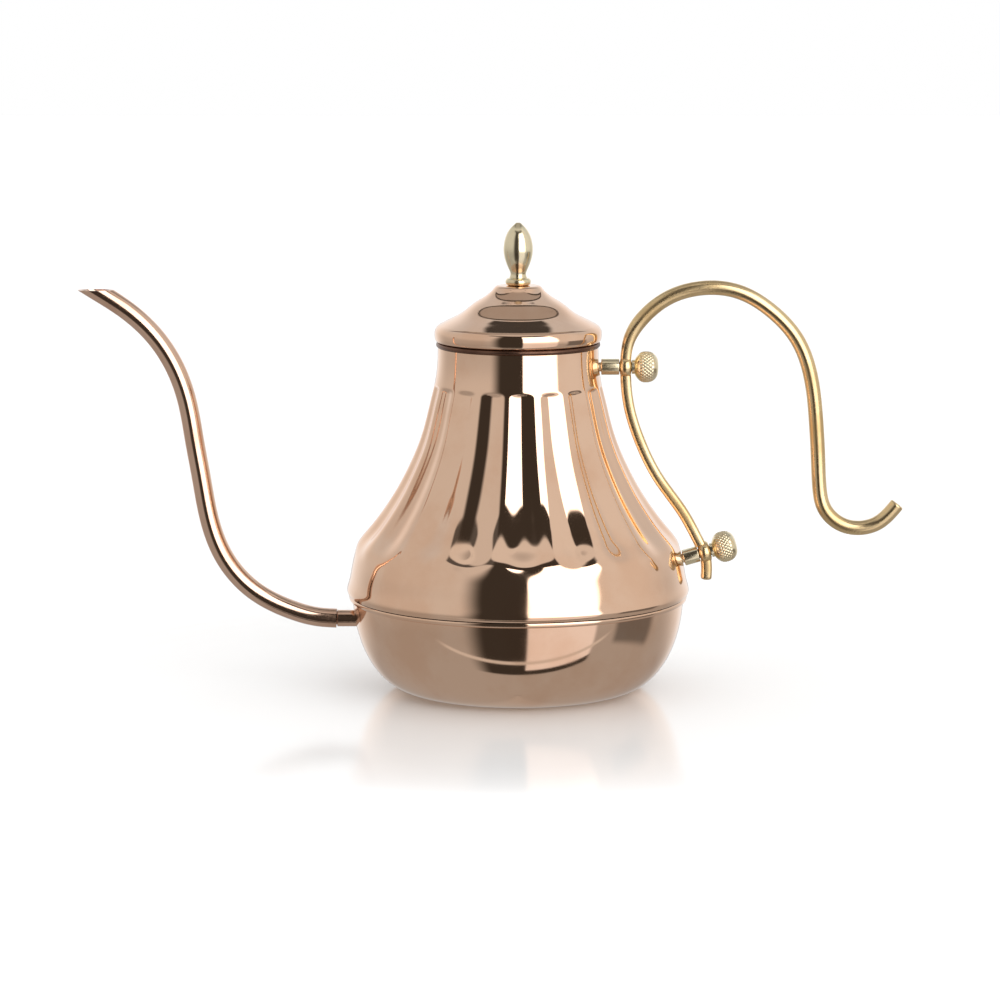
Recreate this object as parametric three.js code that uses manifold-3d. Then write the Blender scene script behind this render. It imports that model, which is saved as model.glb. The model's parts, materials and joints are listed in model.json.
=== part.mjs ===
// A gooseneck pour-over kettle with a fluted bell body, a domed lid and a bent-rod brass handle.
// Units are millimetres, +Z is up. The origin is the centre of the flat base, +X runs to the handle.

import * as THREE from 'three';
import { mergeVertices } from 'three/addons/utils/BufferGeometryUtils.js';
import Module from 'manifold-3d';

const wasm = await Module();
wasm.setup();

// Driving dimensions
const WALL = 0.8;              // sheet thickness of bell, bowl and lid
const GAP = 0.3;               // clearance between pieces that touch on the real kettle
const FLUTES = 18;             // waves round the bell, each a hollow flute and a round rib
const FLUTE_DEPTH = 0.033;     // depth of a flute as a share of the local radius
const FLUTE_TURN = 2;          // degrees from +X to the nearest rib
const FLUTE_TOP = 118;         // height where the flutes start below the smooth neck
const FLUTE_HEAD = 1.5;        // length over which a flute starts below the neck
const FLUTE_FOOT = 50.5;       // height where the flutes have run out into the smooth flare
const FLUTE_FADE = 13;         // length over which a flute runs out at its foot
const BASE_RADIUS = 41;        // flat disc the kettle stands on
const BOWL_RADIUS = 63.7;      // widest radius of the bowl
const BOWL_HEIGHT = 37;        // height of the bowl's round flank
const BOWL_LIP = 40.5;         // top edge of the bowl, tucked inside the bell
const NECK_TOP = 132;          // top edge of the bell
const NECK_RADIUS = 30.7;      // outer radius of the neck
const LID_BOTTOM = 134;        // underside of the lid's rolled rim
const LID_TOP = 155.6;         // small flat on top of the lid
const TUBE_RADIUS = 3.7;       // spout tube, outside
const TUBE_BORE = 2.9;         // spout tube, inside
const TUBE_END = -70.3;        // X of the spout tube's lower end
const TIP_HEIGHT = 153.8;      // height of the level cut at the spout's tip
const NIPPLE_HEIGHT = 26.6;    // height of the spout's root above the base
const ROD_RADIUS = 2.8;        // handle rod
const EYE_RADIUS = 4.2;        // flattened eyes in the rod
const EYE_HALF = 2.15;         // half the thickness of an eye
const STUD_RADIUS = 2;         // M4 thread of the thumbscrews
const STUD_REACH = 4.2;        // thread length held in a post
const POST_RADIUS = 3.1;       // handle posts
const TENON_RADIUS = 1.8;      // riveted ends of the posts
const HEAD_RADIUS = 6;         // knurled thumbscrew heads
const KNURL = 0.15;            // half the height of the knurling
const RIVET = 3.1;             // from a post's root to the underside of its riveted end
const NIPPLE_RADIUS = 3.2;     // neck of the spout's nipple
const SCREW_RADIUS = 1.5;      // M3 screw that holds the finial
const SCREW_HOLE = 2.1;        // hole for it through the lid and the finial's collar
const WASHER_BOTTOM = 153.4;   // underside of the washer on it, inside the lid

// Where the two fixings sit: centre of the eye, tilt of the screw above level, and the
// distance from the eye back to the root of the post
const UPPER = { x: 41.1, z: 124.3, tilt: 0, root: 9.3 };
const LOWER = { x: 71.9, z: 52.5, tilt: 16, root: 8.42 };

const copper = () => new THREE.MeshStandardMaterial({ color: 0xc98f6e, metalness: 1, roughness: 0.12 });
const brass = () => new THREE.MeshStandardMaterial({ color: 0xd8b46a, metalness: 1, roughness: 0.2 });
const steel = () => new THREE.MeshStandardMaterial({ color: 0xb9b9b6, metalness: 1, roughness: 0.3 });

const kettle = new THREE.Group();

function add(name, geometry, material, parent = kettle) {
  const mesh = new THREE.Mesh(geometry, material);
  mesh.name = name;
  parent.add(mesh);
}

// Turns an outline of [radius, height] pairs about +Z. A solid's outline runs anticlockwise.
function turned(outline, segments) {
  const points = outline.map(([r, z]) => new THREE.Vector2(r, z));
  return new THREE.LatheGeometry(points, segments).rotateX(Math.PI / 2);
}

function ring(inner, outer, bottom, top, segments) {
  const outline = [[inner, bottom], [outer, bottom], [outer, top], [inner, top], [inner, bottom]];
  return turned(outline, segments);
}

// Moves each point of an open outline sideways, to the left of its run
function offset(outline, distance) {
  return outline.map(([r, z], i) => {
    const before = outline[Math.max(i - 1, 0)];
    const after = outline[Math.min(i + 1, outline.length - 1)];
    const run = Math.hypot(after[0] - before[0], after[1] - before[1]);
    return [r - (distance * (after[1] - before[1])) / run, z + (distance * (after[0] - before[0])) / run];
  });
}

// A sheet-metal shell: the outline, its offset, and the edges between them
function shell(outline, segments) {
  const inside = offset(outline, WALL).reverse();
  const closed = outline[0][0] === 0 ? [] : [outline[0]];
  return turned([...outline, ...inside, ...closed], segments);
}

function solid(geometry) {
  const bare = new THREE.BufferGeometry();
  bare.setAttribute('position', geometry.getAttribute('position').clone());
  bare.setIndex(geometry.index ? geometry.index.clone() : null);
  const merged = mergeVertices(bare, 1e-4);
  const index = merged.index.array;
  const kept = [];
  for (let i = 0; i < index.length; i += 3) {
    const [a, b, c] = index.slice(i, i + 3);
    if (a !== b && b !== c && c !== a) kept.push(a, b, c);
  }
  return new wasm.Manifold(new wasm.Mesh({
    numProp: 3,
    vertProperties: new Float32Array(merged.getAttribute('position').array),
    triVerts: new Uint32Array(kept),
  }));
}

function geometryOf(body) {
  const mesh = body.getMesh();
  const geometry = new THREE.BufferGeometry();
  geometry.setAttribute('position', new THREE.BufferAttribute(mesh.vertProperties, 3));
  geometry.setIndex(new THREE.BufferAttribute(mesh.triVerts, 1));
  return geometry;
}

// A round rod along +Z between two heights
function pin(radius, bottom, top, segments = 16) {
  const length = top - bottom;
  const rod = new THREE.CylinderGeometry(radius, radius, length, segments);
  return rod.rotateX(Math.PI / 2).translate(0, 0, bottom + length / 2);
}

// Puts a geometry made along +Z onto the axis of a fixing, with its zero at the eye's centre
function onFixing(geometry, fixing) {
  const turn = THREE.MathUtils.degToRad(90 - fixing.tilt);
  return geometry.rotateY(turn).translate(fixing.x, 0, fixing.z);
}

// Sweeps a round section, solid or hollow, along a curve in the XZ plane
function swept(points, steps, sides, radius, bore = 0) {
  const places = points.map(([x, z]) => new THREE.Vector3(x, 0, z));
  const path = new THREE.CatmullRomCurve3(places, false, 'centripetal');
  const section = new THREE.Shape().absarc(0, 0, radius, 0, 2 * Math.PI, false);
  if (bore) section.holes.push(new THREE.Path().absarc(0, 0, bore, 0, 2 * Math.PI, true));
  const settings = { steps, extrudePath: path, curveSegments: sides, bevelEnabled: false };
  return new THREE.ExtrudeGeometry(section, settings);
}

// How deep the flutes are at a height, from 0 on the neck and the flare to 1 between them
function fluteShare(z) {
  const below = THREE.MathUtils.smoothstep(FLUTE_TOP - z, 0, FLUTE_HEAD);
  const above = THREE.MathUtils.smoothstep(z - FLUTE_FOOT, 0, FLUTE_FADE);
  return below * above;
}

// Sinks the flutes into a turned shell, with a rib left at the full radius between them
function flute(geometry) {
  const position = geometry.getAttribute('position');
  for (let i = 0; i < position.count; i += 1) {
    const x = position.getX(i);
    const y = position.getY(i);
    const hollow = (1 - Math.cos(Math.atan2(y, x) * FLUTES)) / 2;
    const scale = 1 - FLUTE_DEPTH * hollow * fluteShare(position.getZ(i));
    position.setXY(i, x * scale, y * scale);
  }
  return geometry.rotateZ(THREE.MathUtils.degToRad(FLUTE_TURN));
}

// The bell: a flared lip, a shoulder where the flutes end, a hollow sweep up to the neck
function bellShell() {
  const outline = [
    [65.4, 36.7], [65.75, 37.8], [65.2, 41], [63.95, 47.5], [63.1, 51.2], [62.2, 55], [61.3, 57], [57.4, 62],
    [49.8, 72.2], [42.9, 84.2], [37, 98.2], [33.4, 112], [32.3, FLUTE_TOP - FLUTE_HEAD], [31.95, FLUTE_TOP],
    [31.1, 123.5], [NECK_RADIUS, NECK_TOP],
  ];
  let body = solid(flute(shell(outline, 6 * FLUTES)));
  for (const fixing of [UPPER, LOWER]) {
    const drill = onFixing(pin(TENON_RADIUS + GAP, -fixing.root - 8, -fixing.root + 4), fixing);
    body = body.subtract(solid(drill));
  }
  return geometryOf(body);
}

function bowlShell() {
  const outline = [[0, 0], [BASE_RADIUS, 0]];
  const flank = BOWL_RADIUS - BASE_RADIUS;
  for (let degrees = 15; degrees <= 90; degrees += 15) {
    const t = THREE.MathUtils.degToRad(degrees);
    outline.push([BASE_RADIUS + flank * Math.sin(t), BOWL_HEIGHT * (1 - Math.cos(t))]);
  }
  outline.push([BOWL_RADIUS - 0.2, BOWL_LIP]);
  const drill = pin(NIPPLE_RADIUS + GAP, -6, 6).rotateY(Math.PI / 2);
  drill.translate(-BOWL_RADIUS, 0, NIPPLE_HEIGHT);
  return geometryOf(solid(shell(outline, 48)).subtract(solid(drill)));
}

// A soldered bead under the bell's lip
function seamBead() {
  const inner = BOWL_RADIUS + GAP;
  const outline = [[inner, 34.6], [65, 35], [65, 36], [inner, 36.4], [inner, 34.6]];
  return turned(outline, 48);
}

// The rolled edge of the mouth, which the lid's rim rests over
function mouthRim() {
  const bottom = NECK_TOP + GAP;
  const top = LID_BOTTOM - GAP;
  const inner = NECK_RADIUS - 1;
  const outer = NECK_RADIUS + 0.7;
  const outline = [[inner, bottom], [31.1, bottom], [outer, bottom + 0.7], [31.1, top], [inner, top]];
  return turned([...outline, outline[0]], 36);
}

// The gooseneck: out of the bowl, up in an S, and over to a tip cut level
function spoutTube() {
  const route = [
    [TUBE_END, NIPPLE_HEIGHT], [-77, 27.1], [-88.2, 30.2], [-102, 37.6], [-113.4, 50.9], [-118.9, 65.8],
    [-121.7, 81.4], [-124.2, 96.1], [-126.8, 110.9], [-131.5, 124.4], [-138.9, 136], [-150.4, 146.7],
    [-161.5, 153.9], [-172, 160.7],
  ];
  const tube = solid(swept(route, 34, 5, TUBE_RADIUS, TUBE_BORE));
  const above = new THREE.BoxGeometry(60, 20, 20).translate(-160, 0, TIP_HEIGHT + 10);
  return geometryOf(tube.subtract(solid(above)));
}

// The short nipple that carries the spout: flange inside the bowl, neck outside, spigot in the tube
function spoutNipple() {
  const bore = 1.8;
  const flange = 4.6;
  const spigot = TUBE_BORE - 0.45;
  const start = 59;
  const shoulder = -TUBE_END - GAP;
  const end = shoulder + 3.6;
  const outline = [
    [bore, start], [flange, start], [flange, start + 0.9], [NIPPLE_RADIUS, start + 0.9],
    [NIPPLE_RADIUS, shoulder], [spigot, shoulder], [spigot, end], [bore, end], [bore, start],
  ];
  return turned(outline, 16).rotateY(-Math.PI / 2).translate(0, 0, NIPPLE_HEIGHT);
}

// A post: threaded bore at its outer end, tenon through the bell, riveted over inside
function post(root) {
  const end = -EYE_HALF - GAP;
  const bore = STUD_RADIUS + GAP;
  const floor = end - STUD_REACH - 0.4;
  const rivet = -root - RIVET;
  return turned([
    [0, rivet - WALL], [2.6, rivet - WALL], [2.6, rivet], [TENON_RADIUS, rivet], [TENON_RADIUS, -root],
    [POST_RADIUS, -root], [POST_RADIUS, end], [bore, end], [bore, floor], [0, floor],
  ], 16);
}

function postWasher(root) {
  const bottom = -root - RIVET + GAP;
  return ring(TENON_RADIUS + GAP, POST_RADIUS + GAP, bottom, bottom + 0.7, 16);
}

function screwStud() {
  return pin(STUD_RADIUS, -EYE_HALF - GAP - STUD_REACH, 6, 12);
}

function screwHead() {
  const start = EYE_HALF + GAP;
  const bore = STUD_RADIUS + GAP;
  const floor = 6 + GAP;
  const end = 12.6;
  const geometry = turned([
    [bore, start], [2.75, start], [2.75, 3.4], [4.8, 4.7], [HEAD_RADIUS, 6.6], [HEAD_RADIUS, 9], [5.1, 11.1],
    [2.6, end - 0.2], [0, end], [0, floor], [bore, floor], [bore, start],
  ], 24);
  const position = geometry.getAttribute('position');
  for (let i = 0; i < position.count; i += 1) {
    const x = position.getX(i);
    const y = position.getY(i);
    if (Math.hypot(x, y) < HEAD_RADIUS - 0.1) continue;
    const scale = 1 + (KNURL / HEAD_RADIUS) * Math.cos(12 * Math.atan2(y, x));
    position.setXY(i, x * scale, y * scale);
  }
  return geometry;
}

// The handle: one bent rod with two flattened eyes and a finger hook at its free end
function handleRod() {
  const route = [
    [72.5, 41.8], [72.3, 50], [69.3, 57.2], [63.5, 67.8], [54, 81.2], [47, 95], [42.6, 108.6], [41.1, 122],
    [42.7, 135.3], [48.7, 144.2], [58.1, 151.2], [70.2, 154.5], [83.5, 153.3], [96.2, 146.2], [107, 134.2],
    [112.2, 119.6], [114.2, 103.9], [115.2, 88.4], [115.8, 78], [117.8, 69.6], [123.6, 63.7], [130.5, 61.9],
    [138, 63.6], [145.9, 71.2],
  ];
  let rod = solid(swept(route, 50, 5, ROD_RADIUS));
  for (const fixing of [UPPER, LOWER]) {
    const eye = onFixing(pin(EYE_RADIUS, -EYE_HALF, EYE_HALF, 20), fixing);
    const inner = onFixing(pin(EYE_RADIUS + 0.6, -EYE_HALF - 4, -EYE_HALF, 20), fixing);
    const outer = onFixing(pin(HEAD_RADIUS + 1, EYE_HALF, EYE_HALF + 5, 20), fixing);
    const bore = onFixing(pin(STUD_RADIUS + GAP, -8, 8), fixing);
    rod = rod.add(solid(eye)).subtract(solid(inner)).subtract(solid(outer)).subtract(solid(bore));
  }
  return geometryOf(rod);
}

// The lid: a concave dome in two sweeps, from a rolled rim up to a small flat with a screw hole
function lidShell() {
  const dome = [
    [31.4, 139.3], [30.2, 140.6], [26, 142.7], [21.6, 145], [16.5, 149], [13.2, 151], [10.6, 153],
    [8.3, LID_TOP], [SCREW_HOLE, LID_TOP],
  ];
  const inside = offset(dome, WALL).reverse();
  const rim = [[30.2, LID_BOTTOM], [31, LID_BOTTOM], [31.8, 135], [32, 136.6], [31.9, 138.2]];
  return turned([...rim, ...dome, ...inside.slice(0, -1), [30.2, 139], [30.2, LID_BOTTOM]], 36);
}

function lidCollar() {
  return ring(28, 28.8, 128.7, 139.6, 36);
}

function finialCollar() {
  const bottom = LID_TOP + GAP;
  const outline = [[SCREW_HOLE, bottom], [4.4, bottom], [4.9, 157], [4.3, 158.2], [SCREW_HOLE, 158.2]];
  return turned([...outline, outline[0]], 20);
}

function finial() {
  const bore = SCREW_RADIUS + GAP;
  return turned([
    [bore, 158.5], [3.4, 158.5], [3, 159.8], [3.7, 162], [4.9, 165], [5.6, 168.5], [5.45, 171.5],
    [4.7, 174.5], [3.3, 177], [0.8, 179.5], [0, 179.5], [0, 166.5], [bore, 166.5], [bore, 158.5],
  ], 20);
}

function finialWasher() {
  return ring(SCREW_RADIUS + GAP, 5, WASHER_BOTTOM, LID_TOP - WALL - GAP, 20);
}

function finialScrew() {
  const top = WASHER_BOTTOM - GAP;
  const head = [[0, 151.2], [2, 151.2], [3, 152.2], [3, top]];
  return turned([...head, [SCREW_RADIUS, top], [SCREW_RADIUS, 166], [0, 166]], 16);
}

// One fixing of the handle: post and washer on the kettle, stud and knurled head of its thumbscrew
function addFixing(name, fixing) {
  const group = new THREE.Group();
  group.position.set(fixing.x, 0, fixing.z);
  group.rotation.y = THREE.MathUtils.degToRad(90 - fixing.tilt);
  add(`${name}_post`, post(fixing.root), brass(), group);
  add(`${name}_post_washer`, postWasher(fixing.root), steel(), group);
  add(`${name}_screw_stud`, screwStud(), brass(), group);
  add(`${name}_screw_head`, screwHead(), brass(), group);
  kettle.add(group);
}

add('bell_shell', bellShell(), copper());
add('bowl_shell', bowlShell(), copper());
add('seam_bead', seamBead(), copper());
add('mouth_rim', mouthRim(), copper());
add('spout_tube', spoutTube(), copper());
add('spout_nipple', spoutNipple(), copper());
addFixing('upper', UPPER);
addFixing('lower', LOWER);
add('handle_rod', handleRod(), brass());
add('lid_shell', lidShell(), copper());
add('lid_collar', lidCollar(), copper());
add('finial_collar', finialCollar(), brass());
add('finial', finial(), brass());
add('finial_washer', finialWasher(), steel());
add('finial_screw', finialScrew(), steel());

export default kettle;
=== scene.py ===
"""Looks of a gooseneck pour-over kettle: a fluted copper bell on a round bowl, brass handle and finial.

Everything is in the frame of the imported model, in metres; outlines are written in millimetres, as
[radius, height] pairs, and scaled once. Each CAD node is replaced by a finely meshed piece of the same size.
"""

import json
import math

import bpy
import numpy as np
from mathutils import Matrix, Vector


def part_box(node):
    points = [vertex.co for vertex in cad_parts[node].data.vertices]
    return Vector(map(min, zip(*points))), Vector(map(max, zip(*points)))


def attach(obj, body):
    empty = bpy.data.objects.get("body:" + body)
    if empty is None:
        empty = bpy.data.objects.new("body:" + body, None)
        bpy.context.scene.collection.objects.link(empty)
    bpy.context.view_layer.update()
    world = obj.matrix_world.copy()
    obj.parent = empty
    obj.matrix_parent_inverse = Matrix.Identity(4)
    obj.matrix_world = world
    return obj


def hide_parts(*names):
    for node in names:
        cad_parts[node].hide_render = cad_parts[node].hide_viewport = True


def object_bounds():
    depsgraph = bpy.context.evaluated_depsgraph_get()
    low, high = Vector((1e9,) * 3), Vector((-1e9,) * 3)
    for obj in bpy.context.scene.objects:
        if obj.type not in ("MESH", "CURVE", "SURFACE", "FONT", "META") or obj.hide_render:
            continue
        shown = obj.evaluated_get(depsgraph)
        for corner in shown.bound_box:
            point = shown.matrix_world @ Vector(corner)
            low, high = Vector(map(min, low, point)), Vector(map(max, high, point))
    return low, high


MM = 0.001
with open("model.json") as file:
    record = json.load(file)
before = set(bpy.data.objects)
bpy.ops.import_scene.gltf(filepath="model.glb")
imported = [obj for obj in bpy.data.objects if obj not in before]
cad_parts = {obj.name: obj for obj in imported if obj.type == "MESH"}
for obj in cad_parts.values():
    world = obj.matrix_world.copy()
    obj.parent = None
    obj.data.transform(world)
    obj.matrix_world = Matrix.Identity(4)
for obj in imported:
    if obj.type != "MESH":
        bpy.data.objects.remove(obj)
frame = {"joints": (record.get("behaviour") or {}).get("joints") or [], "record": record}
CAD_LOW, CAD_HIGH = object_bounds()
BODY_OF = {node: body for body, nodes in frame["record"]["behaviour"]["bodies"].items() for node in nodes}

# Lengths below are in millimetres. Sheet metal, and the gap kept between neighbouring pieces
WALL = 0.8
GAP = 0.3

# The bell's flutes: waves round it, their depth as a share of the radius, and where they start and run out
FLUTES = 18
FLUTE_DEPTH = 0.033
FLUTE_TURN = math.radians(2)
FLUTE_TOP = 118
FLUTE_HEAD = 1.6
FLUTE_FOOT = 50.5
FLUTE_FADE = 13

# The bowl's round flank: the radius where it leaves the flat base, and how far out and up it goes
FLANK_START = 41
FLANK_OUT = 22.7
FLANK_UP = 37

# The spout's tube, and how many rows of it near the tip are swept and then redrawn to end level
TUBE_RADIUS = 3.7
TUBE_BORE = 2.9
TIP_SWEPT = 60
TIP_DRAWN = 39

# The lid's top, the hole in it for the finial's screw, and the edge where the rim meets the dome
LID_TOP = 155.6
LID_HOLE = 2.1
LID_EDGE = [30.2, 140.45]

# The handle's rod and its eyes: the spacing of the rod's rows, half the thickness of an eye, and how far from
# the middle of an eye the rod stops
ROD_RADIUS = 2.8
ROD_SPACING = 0.35
EYE_HALF = 2.15
EYE_INSET = 3.1

# The rod's flattened stretch: half its thickness, the power of its outline (2 is round), how far past the
# upper eye it starts to turn round, and over what length it does so
FLAT_HALF = 2.12
FLAT_POWER = 3.6
FLAT_PAST_EYE = 4
FLAT_FADE = 16

# How the rod's ends are drawn in: the lengths over which they are, and the shares of the radius
LOW_END = 1.1
LOW_END_LEFT = 0.45
HIGH_END = 0.4
HIGH_END_LOST = 0.12

# The thumbscrews' thread, along the screw's own axis from the middle of the handle's eye
THREAD_START = -6.65
THREAD_END = 6
THREAD_PITCH = 0.7
THREAD_TURNS = 18
THREAD_ROOT = 1.72
THREAD_CREST = 2

# The knurl on their heads: the band it covers, how it fades at the band's edges, the teeth round the head,
# their lean in radians a millimetre, their depth as a share of the radius, and the level of ridge that
# leaves the radius as it is
KNURL_BAND = (5, 10.6)
KNURL_FADE = 0.6
KNURL_TEETH = 26
KNURL_LEAN = 1.9
KNURL_DEPTH = 0.055
KNURL_MEAN = 0.7

# Heights and radii that several pieces share, taken from the frame
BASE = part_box("bowl_shell")[0].z / MM
NECK_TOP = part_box("bell_shell")[1].z / MM
LID_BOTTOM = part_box("lid_shell")[0].z / MM
TUBE_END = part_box("spout_tube")[1].x / MM
TIP_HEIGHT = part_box("spout_tube")[1].z / MM
NIPPLE_HEIGHT = sum(corner.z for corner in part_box("spout_nipple")) / 2 / MM
FINIAL_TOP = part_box("finial")[1].z / MM


# ---------------------------------------------------------------- outlines


def ease(t):
    """A smooth step, from 0 where t is 0 or less to 1 where it is 1 or more."""
    t = np.clip(t, 0, 1)
    return t * t * (3 - 2 * t)


def lengths(line):
    """How far along a line each of its points is."""
    return np.concatenate([[0], np.cumsum(np.linalg.norm(np.diff(line, axis=0), axis=1))])


def leftward(line):
    """The unit vector to the left of a line's run, at each of its points."""
    run = np.gradient(line, axis=0)
    run /= np.linalg.norm(run, axis=1)[:, None]
    return np.stack([-run[:, 1], run[:, 0]], axis=1)


def offset(line, distance):
    """Moves each point of an open line sideways, to the left of its run."""
    return line + distance * leftward(line)


def smooth(points, spacing):
    """A natural cubic spline through the points, sampled about every `spacing`."""
    p = np.array(points, float)
    t = lengths(p)
    h = np.diff(t)
    n = len(p)
    system = np.eye(n)
    right = np.zeros_like(p)
    for i in range(1, n - 1):
        system[i, i - 1 : i + 2] = h[i - 1], 2 * (h[i - 1] + h[i]), h[i]
        right[i] = 6 * ((p[i + 1] - p[i]) / h[i] - (p[i] - p[i - 1]) / h[i - 1])
    bend = np.linalg.solve(system, right)
    at = np.linspace(0, t[-1], max(2, int(round(t[-1] / spacing)) + 1))
    k = np.clip(np.searchsorted(t, at, side="right") - 1, 0, n - 2)
    a = (at - t[k])[:, None]
    b = (t[k + 1] - at)[:, None]
    w = h[k][:, None]
    return (
        (bend[k] * b**3 + bend[k + 1] * a**3) / (6 * w)
        + (p[k] / w - bend[k] * w / 6) * b
        + (p[k + 1] / w - bend[k + 1] * w / 6) * a
    )


def rounded(corners, radius, steps=6):
    """A polyline whose inner corners are rounded to `radius`, or less where a side is short."""
    p = [np.array(corner, float) for corner in corners]
    most = 0.45  # of a side that one corner may use up
    made = [p[0]]
    for before, corner, after in zip(p, p[1:], p[2:]):
        u, v = before - corner, after - corner
        reach = min(radius, most * np.linalg.norm(u), most * np.linalg.norm(v))
        start = corner + u / np.linalg.norm(u) * reach
        end = corner + v / np.linalg.norm(v) * reach
        for i in range(steps + 1):
            t = i / steps
            made.append((1 - t) ** 2 * start + 2 * t * (1 - t) * corner + t * t * end)
    made.append(p[-1])
    return np.array(made)


def joined(*lines):
    """Puts lines end to end, leaving out points that meet."""
    made = [np.array(lines[0], float)]
    for line in lines[1:]:
        line = np.array(line, float)
        made.append(line[1:] if np.allclose(made[-1][-1], line[0]) else line)
    return np.concatenate(made)


# ---------------------------------------------------------------- meshes


def grid_mesh(name, rows, closed_rows=False, sharp=35):
    """A smooth mesh from a grid of points [row, column], closed round each row.

    The first and last rows are closed by a fan unless the rows themselves run round in a ring. Edges that
    bend by more than `sharp` degrees stay sharp.
    """
    count, columns = rows.shape[:2]
    points = rows.reshape(-1, 3) * MM
    last = count if closed_rows else count - 1
    faces = []
    for i in range(last):
        a = i * columns
        b = ((i + 1) % count) * columns
        for j in range(columns):
            k = (j + 1) % columns
            faces.append((a + j, a + k, b + k, b + j))
    if not closed_rows:
        faces.append(tuple(range(columns))[::-1])
        faces.append(tuple((count - 1) * columns + j for j in range(columns)))
    mesh = bpy.data.meshes.new(name)
    mesh.from_pydata(points.tolist(), [], faces)
    mesh.shade_smooth()
    mesh.set_sharp_from_angle(angle=math.radians(sharp))
    return mesh


def turned_rows(outline, columns, change=None):
    """The rows of a body turned about +Z. `change` may scale the radius by angle and height."""
    angle = np.linspace(0, 2 * math.pi, columns, endpoint=False)
    radius = np.repeat(outline[:, :1], columns, axis=1)
    height = np.repeat(outline[:, 1:], columns, axis=1)
    if change:
        radius = radius * change(angle[None, :], height)
    return np.stack([radius * np.cos(angle), radius * np.sin(angle), height], axis=2)


def swept_rows(path, side, across):
    """The rows of a sweep along a path in the XZ plane.

    `side` and `across` say how far each point of a row is from the path, to the left of its run and along Y.
    They have one row for each point of the path, or one row for them all.
    """
    left = leftward(path)
    x = path[:, 0, None] + left[:, 0, None] * side
    z = path[:, 1, None] + left[:, 1, None] * side
    return np.stack([x, np.broadcast_to(across, x.shape), z], axis=2)


def on_axis(outline):
    """Keeps a turned body's ends just off the axis, so that their fans are round."""
    least = 0.02
    line = np.array(outline, float)
    line[:, 0] = np.maximum(line[:, 0], least)
    return line


def shown(name, mesh, material):
    """An object that shows a mesh in one material."""
    mesh.materials.append(material)
    made = bpy.data.objects.new(name, mesh)
    bpy.context.scene.collection.objects.link(made)
    return made


def piece(node, mesh, material, matrix=None):
    """A shown piece that stands for one CAD node and moves with its body."""
    if matrix:
        mesh.transform(matrix)
    made = shown(node + "_look", mesh, material)
    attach(made, BODY_OF[node])
    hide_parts(node)
    return made


def turned(node, outline, material, columns=96, matrix=None, change=None, ring=False, sharp=35):
    """A turned piece. A ring's outline runs round and closes on itself."""
    line = np.array(outline, float) if ring else on_axis(outline)
    mesh = grid_mesh(node, turned_rows(line, columns, change), closed_rows=ring, sharp=sharp)
    return piece(node, mesh, material, matrix)


# ---------------------------------------------------------------- materials


class Nodes:
    """Adds nodes to a tree and links them, left to right."""

    def __init__(self, tree):
        self.tree = tree
        self.tree.nodes.clear()

    def plug(self, socket, value):
        """Links a socket to another, or sets it to a plain value."""
        if isinstance(value, bpy.types.NodeSocket):
            self.tree.links.new(value, socket)
        else:
            socket.default_value = value

    def add(self, kind, settings=None, **inputs):
        """A node whose inputs are given by name, with _ for a space, or as i0, i1 and so on by number."""
        node = self.tree.nodes.new(kind)
        for key, value in (settings or {}).items():
            setattr(node, key, value)
        for key, value in inputs.items():
            numbered = key[0] == "i" and key[1:].isdigit()
            self.plug(node.inputs[int(key[1:]) if numbered else key.replace("_", " ")], value)
        return node

    def math(self, operation, a, b=0.0, clamp=False):
        return self.add("ShaderNodeMath", {"operation": operation, "use_clamp": clamp}, i0=a, i1=b).outputs[0]

    def both(self, a, b):
        """The product of two masks: where both hold."""
        return self.math("MULTIPLY", a, b)

    def ramp(self, value, low, high, out_low=0.0, out_high=1.0):
        """A smooth step of `value` from low to high."""
        node = self.add(
            "ShaderNodeMapRange",
            {"interpolation_type": "SMOOTHSTEP"},
            Value=value,
            From_Min=low,
            From_Max=high,
            To_Min=out_low,
            To_Max=out_high,
        )
        return node.outputs["Result"]

    def below(self, value, low, high):
        """1 where `value` is under low, and 0 where it is over high."""
        return self.ramp(value, low, high, 1.0, 0.0)

    def band(self, value, ends, soft):
        """1 where `value` is between the two ends, each of which is softened by its own amount."""
        (low, high), (soft_low, soft_high) = ends, soft
        over = self.ramp(value, low - soft_low, low + soft_low)
        return self.both(over, self.below(value, high - soft_high, high + soft_high))

    def mix(self, factor, a, b):
        """A colour between a and b."""
        node = self.add("ShaderNodeMix", {"data_type": "RGBA"}, i0=factor)
        self.plug(node.inputs[6], a)
        self.plug(node.inputs[7], b)
        return node.outputs[2]


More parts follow.
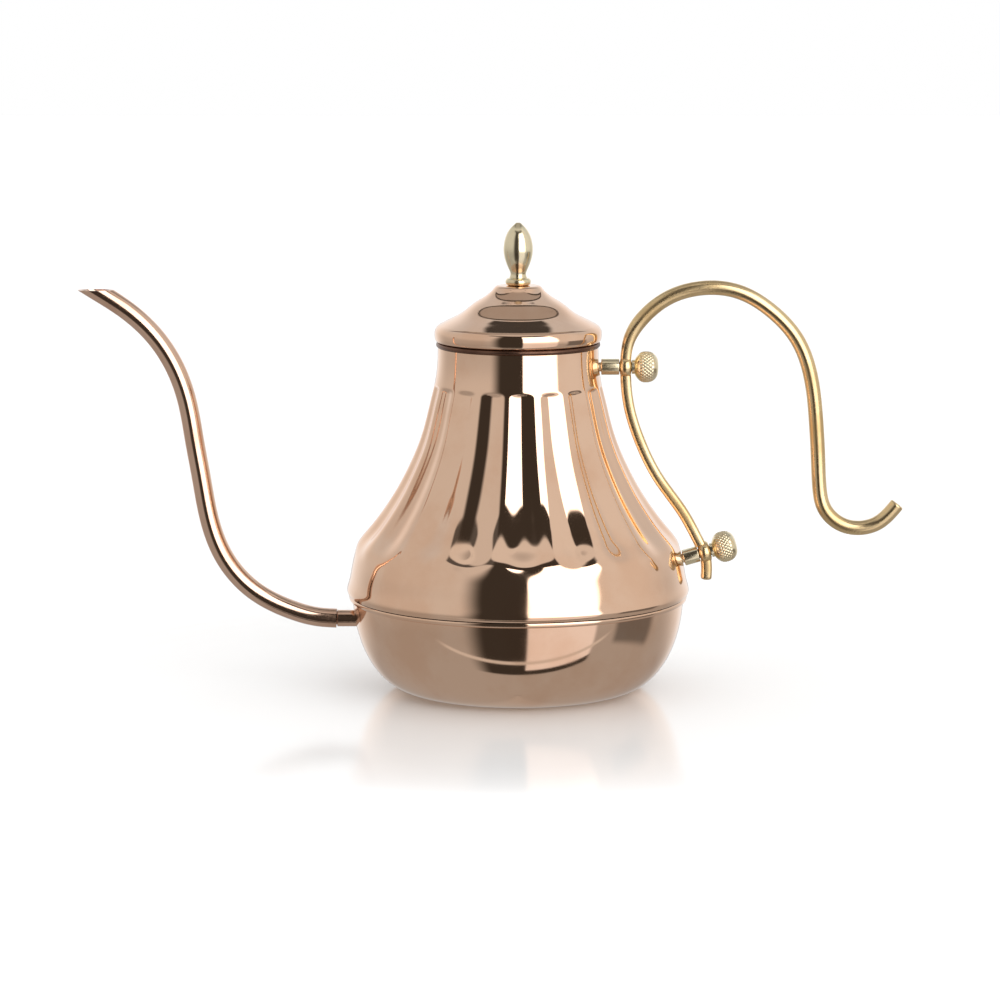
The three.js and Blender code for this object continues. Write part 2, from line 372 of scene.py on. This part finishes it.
def metal(name, slot, tone, deep, gloss, dull, dent, grain):
    """A polished metal.

    tone and deep are its colours where clean and where faintly tarnished, and gloss and dull its roughness
    there. dent is the height in metres of its slow unevenness, and grain that of its fine polishing marks.
    """
    material = bpy.data.materials.new(name)
    material["slot"] = slot
    material.use_nodes = True
    n = Nodes(material.node_tree)
    place = n.add("ShaderNodeTexCoord").outputs["Object"]
    cloud = n.add("ShaderNodeTexNoise", Vector=place, Scale=38.0, Detail=4.0, Roughness=0.55)
    tarnish = n.ramp(cloud.outputs["Fac"], 0.42, 0.68)
    fine = n.add("ShaderNodeTexNoise", Vector=place, Scale=900.0, Detail=3.0, Roughness=0.6)
    specks = n.ramp(fine.outputs["Fac"], 0.5, 0.8)
    dullness = n.math("ADD", n.math("MULTIPLY", tarnish, 0.7), n.math("MULTIPLY", specks, 0.25), clamp=True)
    slow = n.add("ShaderNodeTexNoise", Vector=place, Scale=22.0, Detail=1.0)
    dents = n.add("ShaderNodeBump", Height=slow.outputs["Fac"], Distance=dent, Strength=1.0)
    streaks = n.add("ShaderNodeMapping", Vector=place, Scale=(120.0, 120.0, 2600.0))
    polish = n.add("ShaderNodeTexNoise", Vector=streaks.outputs[0], Scale=1.0, Detail=2.0)
    marks = n.add(
        "ShaderNodeBump",
        Height=polish.outputs["Fac"],
        Distance=grain,
        Strength=1.0,
        Normal=dents.outputs[0],
    )
    shader = n.add(
        "ShaderNodeBsdfPrincipled",
        Base_Color=n.mix(tarnish, tone, deep),
        Roughness=n.ramp(dullness, 0.0, 1.0, gloss, dull),
        Normal=marks.outputs[0],
        Metallic=1.0,
    )
    n.add("ShaderNodeOutputMaterial", Surface=shader.outputs[0])
    return material


COPPER = metal(
    "rose_copper",
    "copper",
    tone=(0.93, 0.64, 0.46, 1),
    deep=(0.88, 0.57, 0.39, 1),
    gloss=0.05,
    dull=0.1,
    dent=0.00006,
    grain=0.0000006,
)
TUBE_COPPER = metal(
    "spout_copper",
    "copper",
    tone=(0.84, 0.57, 0.42, 1),
    deep=(0.74, 0.47, 0.33, 1),
    gloss=0.12,
    dull=0.2,
    dent=0.00006,
    grain=0.000001,
)
# Copper painted near black: painted shade, standing for the shadowed gap between the lid's rim and the neck
SHADE_PAINTED_COPPER = metal(
    "copper_painted_shade",
    "copper",
    tone=(0.2, 0.11, 0.075, 1),
    deep=(0.12, 0.06, 0.04, 1),
    gloss=0.3,
    dull=0.5,
    dent=0.00006,
    grain=0.000002,
)
BRASS = metal(
    "polished_brass",
    "brass",
    tone=(0.94, 0.82, 0.57, 1),
    deep=(0.82, 0.66, 0.4, 1),
    gloss=0.17,
    dull=0.3,
    dent=0.0001,
    grain=0.000001,
)
DRAWN_BRASS = metal(
    "drawn_brass",
    "brass",
    tone=(0.88, 0.66, 0.37, 1),
    deep=(0.74, 0.51, 0.24, 1),
    gloss=0.24,
    dull=0.38,
    dent=0.0001,
    grain=0.0000007,
)
STEEL = metal(
    "bright_steel",
    "steel",
    tone=(0.66, 0.65, 0.63, 1),
    deep=(0.56, 0.54, 0.51, 1),
    gloss=0.2,
    dull=0.36,
    dent=0.00008,
    grain=0.000003,
)


# ---------------------------------------------------------------- body and spout


def flute_scale(angle, height):
    """How much the flutes draw the bell's radius in. Ribs keep the full radius."""
    under_top = ease((FLUTE_TOP - height) / FLUTE_HEAD)
    over_foot = ease((height - FLUTE_FOOT) / FLUTE_FADE)
    hollow = (1 - np.cos(FLUTES * (angle - FLUTE_TURN))) / 2
    return 1 - FLUTE_DEPTH * hollow * under_top * over_foot


def make_bell():
    """The bell: a flared lip, a shoulder where the flutes end, a hollow sweep and the neck."""
    outside = smooth(
        [
            [65.25, 36.7], [65.75, 37.9], [65.25, 41], [64.4, 44.7], [63.7, 48.6], [63.1, 51.2], [62.6, 53.3],
            [62.15, 54.9], [61.75, 56.1], [61.2, 57.15], [57.4, 62], [54.2, 66], [49.8, 72.2], [46.2, 78],
            [42.9, 84.2], [37, 98.2], [33.4, 112], [31.95, 118], [31.1, 123.5], [30.7, NECK_TOP],
        ],
        0.6,
    )
    inside = offset(outside, WALL)[::-1][::3]  # every third point is enough where it is hidden
    rows = turned_rows(joined(outside, inside), 32 * FLUTES, flute_scale)
    piece("bell_shell", grid_mesh("bell_shell", rows, closed_rows=True, sharp=50), COPPER)


def make_bowl():
    """The bowl: a flat disc, a round flank, and a lip tucked up inside the bell."""
    base = [[radius, BASE] for radius in (0, 10, 20, 30, 36, 39)]
    turn = np.linspace(0, math.pi / 2, 60)
    flank = np.stack([FLANK_START + FLANK_OUT * np.sin(turn), BASE + FLANK_UP * (1 - np.cos(turn))], axis=1)
    lip = [[63.6, 39], [63.5, 40.5]]
    outside = joined(base, flank, lip)
    inside = offset(outside, WALL)[::-1]
    turned("bowl_shell", joined(outside, inside), COPPER, columns=288, sharp=50)


def make_rims():
    """The soldered bead under the bell's lip, and the rolled edge of the mouth, whose near-black copper is
    painted shade for the gap under the lid's rim.
    """
    bead = smooth(
        [[64, 34.4], [64.75, 34.75], [65.05, 35.5], [64.95, 36.2], [64.6, 36.58], [64, 36.64]],
        0.12,
    )
    turned("seam_bead", bead, COPPER, columns=288, ring=True)
    bottom = NECK_TOP + GAP
    top = LID_BOTTOM - GAP
    edge = smooth([[29.7, bottom], [31.1, bottom], [31.4, bottom + 0.7], [31.1, top], [29.7, top]], 0.15)
    # The mouth's rolled edge is painted dark: painted shade in the gap under the lid
    turned("mouth_rim", edge, SHADE_PAINTED_COPPER, columns=192, ring=True)


def cut_level(rows):
    """Redraws the last rows of the tube, so that each line along it ends at the tip's height."""
    columns = rows.shape[1]
    end = rows[-TIP_SWEPT - 1 :]
    place = np.arange(len(end))
    share = np.linspace(0, 1, TIP_DRAWN + 1)[1:]
    drawn = np.zeros((TIP_DRAWN, columns, 3))
    for column in range(columns):
        line = end[:, column]
        cut = np.interp(TIP_HEIGHT, line[:, 2], place)
        for axis in range(3):
            drawn[:, column, axis] = np.interp(share * cut, place, line[:, axis])
    return np.concatenate([rows[:-TIP_SWEPT], drawn])


def make_tube():
    """The gooseneck tube, whose tip is cut level."""
    path = smooth(
        [
            [TUBE_END, NIPPLE_HEIGHT], [-77, 27.1], [-88.2, 30.2], [-102, 37.6], [-113.4, 50.9],
            [-118.9, 65.8], [-121.7, 81.4], [-124.2, 96.1], [-126.8, 110.9], [-131.5, 124.4], [-138.9, 136],
            [-150.4, 146.7], [-161.5, 153.9], [-176, 163.2],
        ],
        0.5,
    )
    angle = np.linspace(0, 2 * math.pi, 64, endpoint=False)
    outer, inner = (
        cut_level(swept_rows(path, radius * np.cos(angle), radius * np.sin(angle)))
        for radius in (TUBE_RADIUS, TUBE_BORE)
    )
    mesh = grid_mesh("spout_tube", np.concatenate([outer, inner[::-1]]), closed_rows=True, sharp=40)
    piece("spout_tube", mesh, TUBE_COPPER)


def make_nipple():
    """The nipple that carries the tube, with a flange inside the bowl. It is turned, then laid along -X."""
    shoulder = -TUBE_END - GAP
    outline = rounded(
        [
            [1.8, 62], [1.8, 59], [4.6, 59], [4.6, 59.9], [3.2, 59.9], [3.2, shoulder], [2.45, shoulder],
            [2.45, shoulder + 3.6], [1.8, shoulder + 3.6], [1.8, 62.5],
        ],
        0.25,
    )
    aim = Matrix.Translation((0, 0, NIPPLE_HEIGHT * MM)) @ Matrix.Rotation(-math.pi / 2, 4, "Y")
    turned("spout_nipple", outline, TUBE_COPPER, columns=64, matrix=aim, ring=True)


# ---------------------------------------------------------------- lid


def make_lid():
    """The lid: a domed cap with a rolled rim, and the collar that seats it in the mouth."""
    rim = smooth(
        [
            [30.2, LID_BOTTOM], [30.9, LID_BOTTOM + 0.1], [31.5, 134.6], [31.85, 135.5], [31.95, 136.6],
            [31.9, 138], [31.5, 139.1], [30.9, 139.9], LID_EDGE,
        ],
        0.12,
    )
    dome = smooth(
        [
            LID_EDGE, [28.8, 141.2], [26, 142.6], [21.6, 145], [16.5, 149], [13.2, 151], [10.6, 153],
            [9.3, 154.4], [8.6, 155.2], [8, 155.5], [7, LID_TOP],
        ],
        0.25,
    )
    under = offset(dome, WALL)[::-1]
    inside = joined([[LID_HOLE, LID_TOP], [LID_HOLE, LID_TOP - WALL]], under[:-1], [[30.2, 139]])
    turned("lid_shell", joined(rim, dome, inside), COPPER, columns=256, ring=True, sharp=30)
    collar = rounded([[28, 134], [28, 128.7], [28.8, 128.7], [28.8, 139.6], [28, 139.6], [28, 134.5]], 0.2)
    turned("lid_collar", collar, COPPER, columns=192, ring=True)


def make_finial():
    """The brass finial on its collar, with the washer and the screw that hold it from below."""
    foot = smooth([[2.1, 155.9], [4.4, 155.9], [4.9, 157], [4.3, 158.2], [2.1, 158.2]], 0.1)
    turned("finial_collar", foot, BRASS, columns=96, ring=True)
    bud = smooth(
        [
            [3.4, 158.5], [3, 159.8], [3.7, 162], [4.9, 165], [5.6, 168.5], [5.45, 171.5], [4.7, 174.5],
            [3.3, 177], [0.8, FINIAL_TOP],
        ],
        0.15,
    )
    core = [[0, FINIAL_TOP], [0, 166.5], [1.8, 166.5], [1.8, 158.5]]
    turned("finial", joined(bud, core), BRASS, columns=96, ring=True)
    washer = rounded([[1.8, 154], [1.8, 153.4], [5, 153.4], [5, 154.5], [1.8, 154.5], [1.8, 154.2]], 0.15)
    turned("finial_washer", washer, STEEL, columns=64, ring=True)
    screw = rounded([[0, 151.2], [2, 151.2], [3, 152.2], [3, 153.1], [1.5, 153.1], [1.5, 166], [0, 166]], 0.2)
    turned("finial_screw", screw, STEEL, columns=48)


# ---------------------------------------------------------------- handle


def fixing(name):
    """Where a thumbscrew sits: the matrix to the row frame from its own, whose +Z is the screw's axis."""
    joint = next(j for j in frame["joints"] if j["name"] == name + "_screw_turn")
    turn = Vector((0, 0, 1)).rotation_difference(Vector(joint["axis"]))
    return Matrix.Translation(joint["pos_m"]) @ turn.to_matrix().to_4x4()


def make_post(name, reach):
    """The post that the handle is screwed to, and the washer behind its riveted end.

    `reach` is how far the kettle's wall is from the middle of the handle's eye.
    """
    aim = fixing(name)
    wall = -reach
    end = -EYE_HALF - GAP
    post = rounded(
        [
            [0, wall - 3.9], [2.6, wall - 3.9], [2.6, wall - 3.1], [1.8, wall - 3.1], [1.8, wall],
            [3.1, wall], [3.1, end], [2.3, end], [2.3, end - 4.6], [0, end - 4.6],
        ],
        0.3,
    )
    turned(name + "_post", post, BRASS, columns=64, matrix=aim)
    washer = rounded(
        [
            [2.1, wall - 2.5], [2.1, wall - 2.8], [3.4, wall - 2.8], [3.4, wall - 2.1], [2.1, wall - 2.1],
            [2.1, wall - 2.4],
        ],
        0.12,
    )
    turned(name + "_post_washer", washer, STEEL, columns=48, matrix=aim, ring=True)


def knurl(angle, height):
    """Crossed grooves round a thumbscrew's head, between its neck and its rounded face."""
    low, high = KNURL_BAND
    band = np.clip((height - low) / KNURL_FADE, 0, 1) * np.clip((high - height) / KNURL_FADE, 0, 1)
    lean = KNURL_LEAN * (height - (low + high) / 2)
    ridges = np.abs(np.cos(KNURL_TEETH * angle / 2 + lean)) * np.abs(np.cos(KNURL_TEETH * angle / 2 - lean))
    return 1 + band * KNURL_DEPTH * (ridges - KNURL_MEAN)


def make_thumbscrew(name):
    """The threaded stud and the knurled head of a thumbscrew."""
    aim = fixing(name)
    thread = [[0, THREAD_START]]
    for i in range(THREAD_TURNS):
        bottom = THREAD_START + THREAD_PITCH * i
        thread += [[THREAD_ROOT, bottom + 0.1], [THREAD_CREST, bottom + 0.4]]
    thread += [[THREAD_ROOT, THREAD_END], [0, THREAD_END]]
    turned(name + "_screw_stud", thread, BRASS, columns=48, matrix=aim)

    crown = smooth(
        [
            [2.75, 3.4], [3.6, 3.85], [4.9, 4.9], [5.75, 6.3], [5.95, 7.8], [5.8, 9.2], [5.1, 10.8],
            [3.7, 12], [1.8, 12.5], [0.05, 12.6],
        ],
        0.12,
    )
    near = EYE_HALF + GAP
    head = joined([[2.3, near], [2.75, near]], crown, [[0.05, 6.3], [2.3, 6.3]])
    turned(name + "_screw_head", head, BRASS, columns=300, matrix=aim, change=knurl, ring=True, sharp=40)


def rod_offsets(along, upper_eye):
    """How far the rod's surface is from its path: flattened up to the upper eye, round over the grip."""
    roundness = ease((along - along[upper_eye] - FLAT_PAST_EYE) / FLAT_FADE)
    half = FLAT_HALF + (ROD_RADIUS - FLAT_HALF) * roundness
    power = (2 / (FLAT_POWER + (2 - FLAT_POWER) * roundness))[:, None]
    from_low = np.clip(along / LOW_END, 0, 1)
    from_high = np.clip((along[-1] - along) / HIGH_END, 0, 1)
    shrink = LOW_END_LEFT + (1 - LOW_END_LEFT) * np.sqrt(1 - (1 - from_low) ** 2)
    shrink = shrink * (1 - HIGH_END_LOST * (1 - from_high) ** 2)
    angle = np.linspace(0, 2 * math.pi, 56, endpoint=False)
    c, s = np.cos(angle)[None, :], np.sin(angle)[None, :]
    side = np.sign(c) * np.abs(c) ** power * (half * shrink)[:, None]
    across = np.sign(s) * np.abs(s) ** power * (ROD_RADIUS * shrink)[:, None]
    return side, across


def rod_meshes(eyes):
    """The rod in three stretches, which end inside the eyes at these centres, the lower one first."""
    path = smooth(
        [
            [72.5, 41.8], [72.3, 50], [69.3, 57.2], [63.5, 67.8], [54, 81.2], [47, 95], [42.6, 108.6],
            [41.1, 122], [42.7, 135.3], [48.7, 144.2], [58.1, 151.2], [70.2, 154.5], [83.5, 153.3],
            [96.2, 146.2], [107, 134.2], [112.2, 119.6], [114.2, 103.9], [115.2, 88.4], [115.8, 78],
            [117.8, 69.6], [123.6, 63.7], [130.5, 61.9], [138, 63.6], [145.9, 71.2],
        ],
        ROD_SPACING,
    )
    lower, upper = (int(np.argmin(np.hypot(path[:, 0] - eye.x, path[:, 1] - eye.z))) for eye in eyes)
    side, across = rod_offsets(lengths(path), upper)
    inset = int(round(EYE_INSET / ROD_SPACING))
    meshes = []
    for first, last in ((0, lower - inset), (lower + inset, upper - inset), (upper + inset, len(path) - 1)):
        here = slice(first, last + 1)
        meshes.append(grid_mesh("handle_rod", swept_rows(path[here], side[here], across[here]), sharp=50))
    return meshes


def eye_mesh(matrix):
    """The ring that a thumbscrew's stud goes through, with a rounded outer edge."""
    edge = smooth(
        [
            [2.9, -EYE_HALF], [3.7, -1.75], [4.2, -0.8], [4.3, 0], [4.2, 0.8], [3.7, 1.75],
            [2.9, EYE_HALF],
        ],
        0.15,
    )
    outline = joined([[2.3, 0], [2.3, -EYE_HALF]], edge, [[2.3, EYE_HALF], [2.3, 0.1]])
    mesh = grid_mesh("handle_eye", turned_rows(outline, 72), closed_rows=True, sharp=50)
    mesh.transform(matrix)
    return mesh


def make_handle():
    """The handle: one bent rod with two flattened eyes and a finger hook at its free end."""
    seats = [fixing(name) for name in ("lower", "upper")]
    low_stretch, *stretches = rod_meshes([seat.translation / MM for seat in seats])
    made = piece("handle_rod", low_stretch, DRAWN_BRASS)
    meshes = stretches + [eye_mesh(seat) for seat in seats]
    parts = [shown("handle_part", mesh, DRAWN_BRASS) for mesh in meshes]
    with bpy.context.temp_override(active_object=made, selected_editable_objects=[made, *parts]):
        bpy.ops.object.join()


# ---------------------------------------------------------------- studio


def make_camera():
    """A long lens, a little above the kettle and square to the side that shows spout and handle."""
    framing = Vector((0.0031, 0, -0.017))
    aim = (CAD_LOW + CAD_HIGH) / 2 + framing
    pitch = math.radians(8.7)
    distance = 1.5175
    data = bpy.data.cameras.new("camera")
    data.sensor_width = 36
    data.lens = 142.05
    camera = bpy.data.objects.new("camera", data)
    camera.location = aim + distance * Vector((0, -math.cos(pitch), math.sin(pitch)))
    camera.rotation_euler = (math.pi / 2 - pitch, 0, 0)
    bpy.context.scene.collection.objects.link(camera)
    bpy.context.scene.camera = camera


def make_floor():
    """A plain white floor whose gloss is strongest under the kettle and fades out round it."""
    size = 4.0
    clearance = 0.0002
    gloss_near, gloss_far = 0.07, 0.19
    material = bpy.data.materials.new("floor")
    material.use_nodes = True
    n = Nodes(material.node_tree)
    place = n.add("ShaderNodeTexCoord").outputs["Object"]
    distance = n.add("ShaderNodeVectorMath", {"operation": "LENGTH"}, i0=place).outputs["Value"]
    shader = n.add(
        "ShaderNodeBsdfPrincipled",
        Base_Color=(0.86, 0.855, 0.85, 1),
        Roughness=0.12,
        Specular_IOR_Level=n.ramp(distance, gloss_near, gloss_far, 0.9, 0.0),
    )
    n.add("ShaderNodeOutputMaterial", Surface=shader.outputs[0])
    mesh = bpy.data.meshes.new("floor")
    corners = [(-size, -size, 0), (size, -size, 0), (size, size, 0), (-size, size, 0)]
    mesh.from_pydata(corners, [], [(0, 1, 2, 3)])
    floor = shown("floor", mesh, material)
    floor.location.z = CAD_LOW.z - clearance
    floor.visible_glossy = False


WHITE = (1.0, 1.0, 1.0, 1)


def grey(level):
    """A slightly warm grey."""
    return (level, level * 0.985, level * 0.97, 1)


class Studio(Nodes):
    """The world's nodes, which paint panels one over another by the direction in which they are seen.

    turn is a direction's angle from the camera towards the handle, aside the same to either side, rise its
    height over the horizon, and tilt its height in the plane through the camera, which keeps the level edges
    of panels level. All are in degrees.
    """

    def __init__(self, tree, colour):
        super().__init__(tree)
        self.colour = colour
        direction = self.add("ShaderNodeTexCoord").outputs["Generated"]
        self.x, self.y, self.z = self.add("ShaderNodeSeparateXYZ", i0=direction).outputs
        toward = self.math("MULTIPLY", self.y, -1.0)
        self.turn = self.degrees(self.math("ARCTAN2", self.x, toward))
        self.aside = self.math("ABSOLUTE", self.turn)
        self.rise = self.degrees(self.math("ARCSINE", self.z))
        self.tilt = self.degrees(self.math("ARCTAN2", self.z, toward))

    def degrees(self, angle):
        return self.math("MULTIPLY", angle, 180 / math.pi)

    def paint(self, mask, colour):
        self.colour = self.mix(mask, self.colour, colour)


def paint_walls(s):
    """Walls that darken towards the floor, a dark stand on the handle's side, and the white backdrop."""
    s.paint(s.ramp(s.rise, -22.0, 12.0), grey(0.63))
    wing = s.both(s.band(s.turn, (56, 112), (4, 25)), s.ramp(s.rise, -14.0, -6.0))
    s.paint(wing, grey(0.74))
    stand = s.both(s.band(s.turn, (73, 108), (3, 4)), s.band(s.rise, (-26, -8), (2.5, 0.8)))
    s.paint(stand, grey(0.17))
    backdrop = s.both(s.ramp(s.aside, 118.0, 165.0), s.ramp(s.rise, -28.0, -10.0))
    s.paint(backdrop, WHITE)
    backdrop_foot = s.both(s.ramp(s.aside, 163.0, 177.0), s.below(s.rise, -4.0, 1.0))
    s.paint(backdrop_foot, grey(0.45))
    backdrop_top = s.both(s.ramp(s.rise, 12.0, 40.0), s.ramp(s.aside, 90.0, 130.0))
    s.paint(backdrop_top, (0.62, 0.66, 0.7, 1))
    s.paint(s.ramp(s.rise, 61.0, 66.0), grey(0.7))


def paint_ceiling(s):
    """Overhead, seen in the lid: a tan ceiling that ends behind the kettle in a dark curved edge."""
    least_height = 0.02
    edge_start, edge_curve = 0.14, 1.25
    side_start, side_slope = 0.42, 0.5
    height = s.math("MAXIMUM", s.z, least_height)
    u = s.math("DIVIDE", s.x, height)
    v = s.math("DIVIDE", s.y, height)
    edge = s.math("SQRT", s.math("ADD", edge_start, s.math("MULTIPLY", edge_curve, s.math("MULTIPLY", u, u))))
    past_edge = s.math("SUBTRACT", v, edge)
    side = s.math("ADD", side_start, s.math("MULTIPLY", side_slope, v))
    past_side = s.math("SUBTRACT", s.math("ABSOLUTE", u), side)
    past = s.math("MAXIMUM", past_edge, past_side)
    s.paint(s.both(s.below(past, -0.03, 0.0), s.ramp(v, -0.3, -0.1)), grey(0.4))
    dark_edge = s.both(s.band(past, (-0.06, 0.03), (0.012, 0.012)), s.ramp(v, -0.1, 0.1))
    s.paint(dark_edge, grey(0.07))
    patch = s.both(s.band(past_edge, (0.09, 0.33), (0.02, 0.04)), s.band(u, (-0.27, 0.27), (0.03, 0.03)))
    s.paint(patch, grey(0.06))


def paint_front(s):
    """Behind the camera: the dark room, and the softbox on the right with the table's pale hem under it."""
    strip = s.both(s.band(s.rise, (54, 63), (1.5, 1.5)), s.band(s.turn, (-62, 60), (6, 4)))
    s.paint(strip, grey(0.1))
    room = s.both(s.below(s.rise, 61.5, 64.5), s.band(s.turn, (-33, 57), (9, 2)))
    room = s.both(room, s.ramp(s.tilt, -58.0, -56.0))
    s.paint(room, (0.045, 0.04, 0.035, 1))
    softbox = s.both(s.band(s.turn, (6.5, 57), (1, 2)), s.band(s.rise, (-53, 50), (2, 1)))
    softbox = s.both(softbox, s.ramp(s.tilt, -53.0, -51.0))
    spill, glow = (0.86, 0.84, 0.86, 1), (2.6, 2.6, 2.6, 1)
    s.paint(softbox, s.mix(s.ramp(s.rise, -12.0, -3.0), spill, glow))
    hem = s.both(s.band(s.tilt, (-46, -43), (0.8, 0.8)), s.band(s.turn, (-58, 66), (6, 6)))
    s.paint(hem, grey(0.62))


def make_world():
    """A white studio tent, mirrored in the metal. To the camera itself the background is plain white."""
    world = bpy.data.worlds.new("studio")
    bpy.context.scene.world = world
    world.use_nodes = True
    studio = Studio(world.node_tree, grey(0.4))
    paint_walls(studio)
    paint_ceiling(studio)
    paint_front(studio)
    studio.paint(studio.add("ShaderNodeLightPath").outputs["Is Camera Ray"], WHITE)
    ground = studio.add("ShaderNodeBackground", Color=studio.colour, Strength=1.0)
    studio.add("ShaderNodeOutputWorld", Surface=ground.outputs[0])


def make_light():
    """A wide soft light from overhead, even over the whole floor. The metal doesn't mirror it."""
    data = bpy.data.lights.new("overhead", "SUN")
    data.angle = math.radians(110)
    data.energy = 1.85
    lamp = bpy.data.objects.new("overhead", data)
    lamp.visible_glossy = False
    bpy.context.scene.collection.objects.link(lamp)


make_camera()
make_bell()
make_bowl()
make_rims()
make_tube()
make_nipple()
make_lid()
make_finial()
for screw, to_wall in (("upper", 9.3), ("lower", 8.42)):
    make_post(screw, to_wall)
    make_thumbscrew(screw)
make_handle()
make_floor()
make_world()
make_light()
bpy.context.scene.view_settings.view_transform = "Standard"

bpy.context.view_layer.update()
